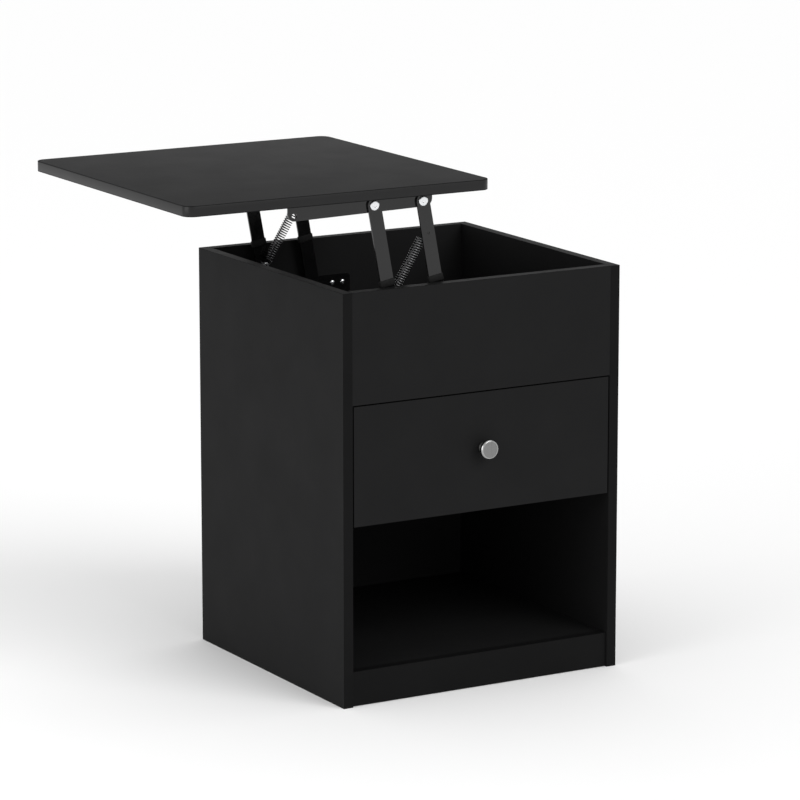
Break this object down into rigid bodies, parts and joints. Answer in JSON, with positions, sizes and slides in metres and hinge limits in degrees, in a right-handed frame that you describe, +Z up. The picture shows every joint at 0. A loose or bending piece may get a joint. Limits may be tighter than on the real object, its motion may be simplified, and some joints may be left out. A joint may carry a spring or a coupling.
{
  "type": "lift-top side table",
  "caption": "Square side table whose top swings up and to the left on spring-assisted arms over a storage box, with a drawer on slides and an open shelf.",
  "frame": {"origin": "middle of the rest pose's bounding box, on the floor: 100 mm right of the cabinet's left face and halfway from front to back", "axes": "+Z up, -Y out of the drawer front, -X the way the lid swings out"},
  "size_m": [0.696, 0.47, 0.729],
  "materials": {
    "lid_laminate": "matte black melamine on particleboard",
    "board_laminate": "matte black melamine on particleboard",
    "drawer_board": "black paper-faced particleboard",
    "hardboard": "dark hardboard",
    "painted_steel": "satin black powder coat",
    "slide_steel": "zinc-plated steel",
    "zinc": "bright zinc plate",
    "satin_nickel": "satin nickel"
  },
  "bodies": {
    "cabinet": {"side_panel_left": "board_laminate", "side_panel_right": "board_laminate", "back_panel": "board_laminate", "upper_front_panel": "board_laminate", "storage_floor": "board_laminate", "bottom_shelf": "board_laminate", "plinth": "board_laminate", "slide_rail_left": "slide_steel", "slide_screw_left_1": "zinc", "slide_screw_left_2": "zinc", "slide_rail_right": "slide_steel", "slide_screw_right_1": "zinc", "slide_screw_right_2": "zinc", "base_bracket_front": "painted_steel", "stop_pin_front": "zinc", "bracket_screw_left_front": "zinc", "bracket_screw_middle_front": "zinc", "bracket_screw_right_front": "zinc", "lower_rivet_left_front": "zinc", "lower_rivet_right_front": "zinc", "base_bracket_back": "painted_steel", "stop_pin_back": "zinc", "bracket_screw_left_back": "zinc", "bracket_screw_middle_back": "zinc", "bracket_screw_right_back": "zinc", "lower_rivet_left_back": "zinc", "lower_rivet_right_back": "zinc"},
    "drawer": {"drawer_front": "board_laminate", "drawer_side_left": "drawer_board", "drawer_side_right": "drawer_board", "drawer_back": "drawer_board", "drawer_bottom": "hardboard", "drawer_knob": "satin_nickel", "knob_screw": "zinc", "slide_runner_left": "slide_steel", "slide_runner_right": "slide_steel"},
    "lid": {"lid_board": "lid_laminate", "lid_rail_front": "painted_steel", "rail_screw_1_front": "zinc", "rail_screw_2_front": "zinc", "upper_rivet_left_front": "zinc", "upper_rivet_right_front": "zinc", "lid_rail_back": "painted_steel", "rail_screw_1_back": "zinc", "rail_screw_2_back": "zinc", "upper_rivet_left_back": "zinc", "upper_rivet_right_back": "zinc"},
    "arm_left_front": {"lift_arm_left_front": "painted_steel", "spring_pin_left_front": "zinc"},
    "arm_right_front": {"lift_arm_right_front": "painted_steel", "spring_pin_right_front": "zinc"},
    "arm_left_back": {"lift_arm_left_back": "painted_steel", "spring_pin_left_back": "zinc"},
    "arm_right_back": {"lift_arm_right_back": "painted_steel", "spring_pin_right_back": "zinc"},
    "spring_front": {"spring_coil_front": "zinc"},
    "spring_tip_front": {"spring_hook_front": "zinc"},
    "spring_back": {"spring_coil_back": "zinc"},
    "spring_tip_back": {"spring_hook_back": "zinc"}
  },
  "joints": [
    {"name": "lid_lift", "type": "hinge", "parent": "cabinet", "child": "arm_left_front", "pos_m": [0.00296, -0.18625, 0.48774], "axis": [0, 1, 0], "range_deg": [0, 77.93]},
    {"name": "lid_level", "type": "hinge", "parent": "arm_left_front", "child": "lid", "pos_m": [-0.0361, -0.18625, 0.6985], "axis": [0, 1, 0], "range_deg": [-78, 0]},
    {"name": "arm_right_front_turn", "type": "hinge", "parent": "cabinet", "child": "arm_right_front", "pos_m": [0.07996, -0.18625, 0.48774], "axis": [0, 1, 0], "range_deg": [0, 78]},
    {"name": "arm_left_back_turn", "type": "hinge", "parent": "cabinet", "child": "arm_left_back", "pos_m": [0.00296, 0.18625, 0.48774], "axis": [0, 1, 0], "range_deg": [0, 78]},
    {"name": "arm_right_back_turn", "type": "hinge", "parent": "cabinet", "child": "arm_right_back", "pos_m": [0.07996, 0.18625, 0.48774], "axis": [0, 1, 0], "range_deg": [0, 78]},
    {"name": "spring_front_turn", "type": "hinge", "parent": "arm_left_front", "child": "spring_front", "pos_m": [-0.00979, -0.1765, 0.55657], "axis": [0, 1, 0], "range_deg": [-32.2, 0]},
    {"name": "spring_front_stretch", "type": "slide", "parent": "spring_front", "child": "spring_tip_front", "axis": [0.5231, 0, 0.8523], "range_m": [0, 0.0588], "deforming": ["spring_coil_front", "spring_hook_front"]},
    {"name": "spring_back_turn", "type": "hinge", "parent": "arm_left_back", "child": "spring_back", "pos_m": [-0.00979, 0.1765, 0.55657], "axis": [0, 1, 0], "range_deg": [-32.2, 0]},
    {"name": "spring_back_stretch", "type": "slide", "parent": "spring_back", "child": "spring_tip_back", "axis": [0.5231, 0, 0.8523], "range_m": [0, 0.0588], "deforming": ["spring_coil_back", "spring_hook_back"]},
    {"name": "drawer_slide", "type": "slide", "parent": "cabinet", "child": "drawer", "axis": [0, -1, 0], "range_m": [0, 0.25]}
  ],
  "couplings": [
    {"joint": "lid_level", "follows": "lid_lift", "ratio": -1},
    {"joint": "arm_right_front_turn", "follows": "lid_lift", "ratio": 1},
    {"joint": "arm_left_back_turn", "follows": "lid_lift", "ratio": 1},
    {"joint": "arm_right_back_turn", "follows": "lid_lift", "ratio": 1},
    {"joint": "spring_front_turn", "follows": "lid_lift", "ratio": -0.41225},
    {"joint": "spring_front_stretch", "follows": "lid_lift", "m_per_rad": 0.043087},
    {"joint": "spring_back_turn", "follows": "lid_lift", "ratio": -0.41225},
    {"joint": "spring_back_stretch", "follows": "lid_lift", "m_per_rad": 0.043087}
  ]
}
